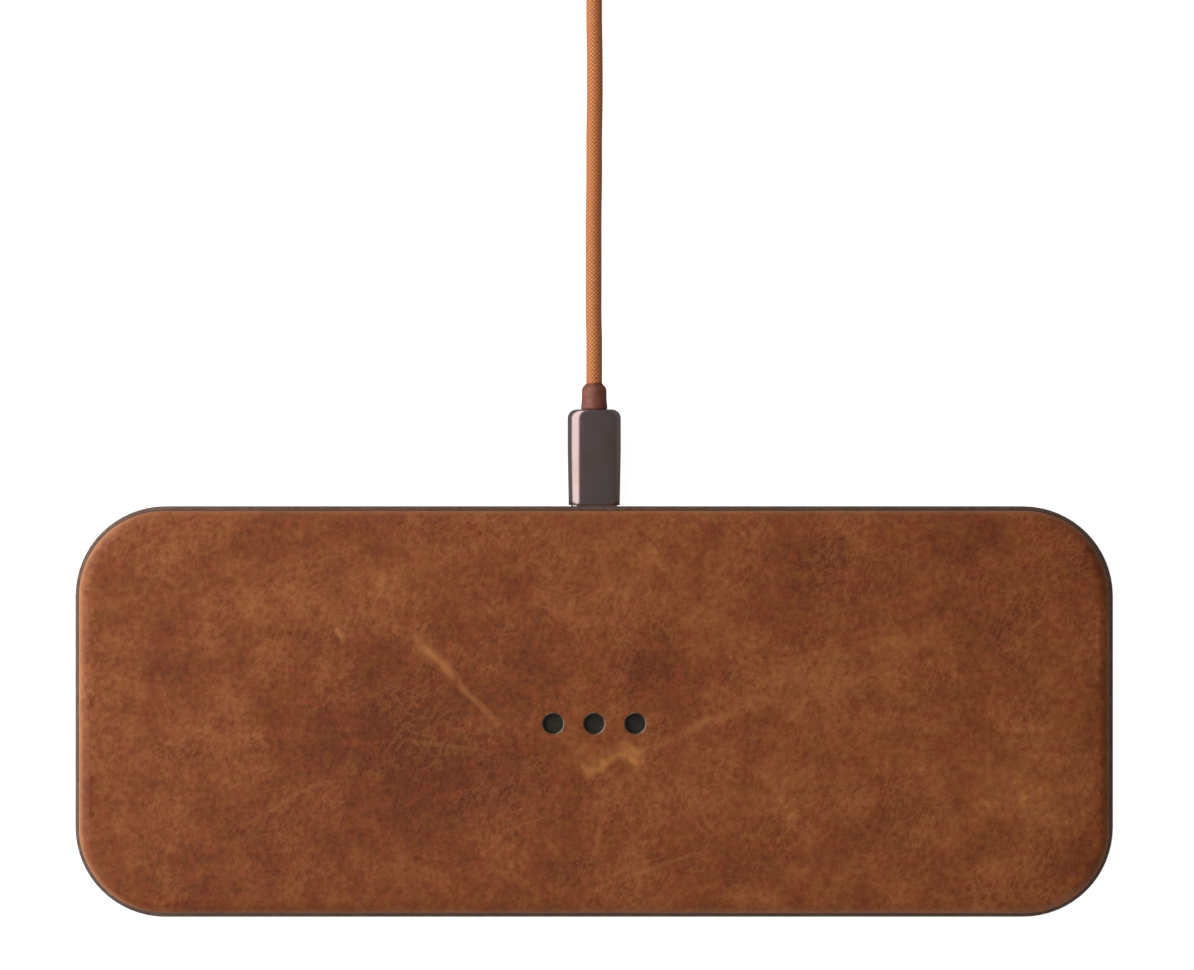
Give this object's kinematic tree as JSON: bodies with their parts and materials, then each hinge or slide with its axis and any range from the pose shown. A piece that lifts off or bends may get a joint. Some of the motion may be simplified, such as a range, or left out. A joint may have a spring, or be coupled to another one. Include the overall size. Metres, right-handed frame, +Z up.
{
  "type": "wireless charging pad",
  "caption": "Leather-topped wireless charging pad for phones laid side by side, with a metal tray, flat charging coils inside and a braided USB-C cable that unplugs.",
  "frame": {"origin": "centre of the pad's underside, on the surface that the pad lies on", "axes": "+X along the pad to the right, +Y to the back where the cable plugs in, +Z up out of the leather"},
  "size_m": [0.185, 0.2177, 0.0134],
  "materials": {
    "leather": "pull-up leather, satin, scuffed",
    "leather_strap": "pull-up leather, satin",
    "foam": "matt closed-cell foam",
    "inner_plastic": "fine moulded texture",
    "smoked_plastic": "polished",
    "bronze_metal": "dark bronze anodised, satin",
    "plug_metal": "dark bronze anodised, satin",
    "plug_steel": "bright drawn",
    "contact_gold": "gold plated",
    "black_mould": "fine moulded texture",
    "circuit_board": "lacquered",
    "chip": "moulded",
    "ceramic": "fired ceramic",
    "lamp": "clear resin",
    "copper": "lacquered wire",
    "ferrite": "sintered",
    "sensor": "polyimide strip",
    "silicone": "soft, matt",
    "screw_steel": "zinc plated",
    "base_rubber": "matt, micro textured",
    "relief_rubber": "satin moulded",
    "braid": "braided, satin yarn"
  },
  "bodies": {
    "pad": {"leather_cover": "leather", "foam_underlay": "foam", "top_plate": "inner_plastic", "light_guide": "smoked_plastic", "status_leds": "lamp", "coil_left": "copper", "coil_right": "copper", "ferrite_left": "ferrite", "ferrite_right": "ferrite", "temperature_sensor_left": "sensor", "temperature_sensor_right": "sensor", "main_board": "circuit_board", "controller_chip": "chip", "driver_chips": "chip", "power_inductors": "ferrite", "resonant_capacitors": "ceramic", "filter_capacitors": "ceramic", "small_resistors": "chip", "thermal_pads": "silicone", "board_screws": "screw_steel", "socket_shell": "plug_steel", "socket_tongue": "black_mould", "socket_contacts": "contact_gold", "base_tray": "bronze_metal", "case_screws": "screw_steel", "base_pad": "base_rubber"},
    "cable": {"plug_shell": "plug_steel", "plug_insert": "black_mould", "plug_contacts": "contact_gold", "plug_board": "circuit_board", "plug_core": "black_mould", "plug_housing": "plug_metal", "strain_relief": "relief_rubber", "cord": "braid", "cord_coil": "braid", "cord_tail": "braid", "cord_tie": "leather_strap", "far_plug_shell": "plug_steel", "far_plug_insert": "black_mould", "far_plug_contacts": "contact_gold", "far_plug_board": "circuit_board", "far_plug_core": "black_mould", "far_plug_housing": "plug_metal", "far_strain_relief": "relief_rubber"}
  },
  "joints": [
    {"name": "cable_unplug", "type": "slide", "parent": "pad", "child": "cable", "axis": [0, 1, 0], "range_m": [0, 0.008]}
  ]
}
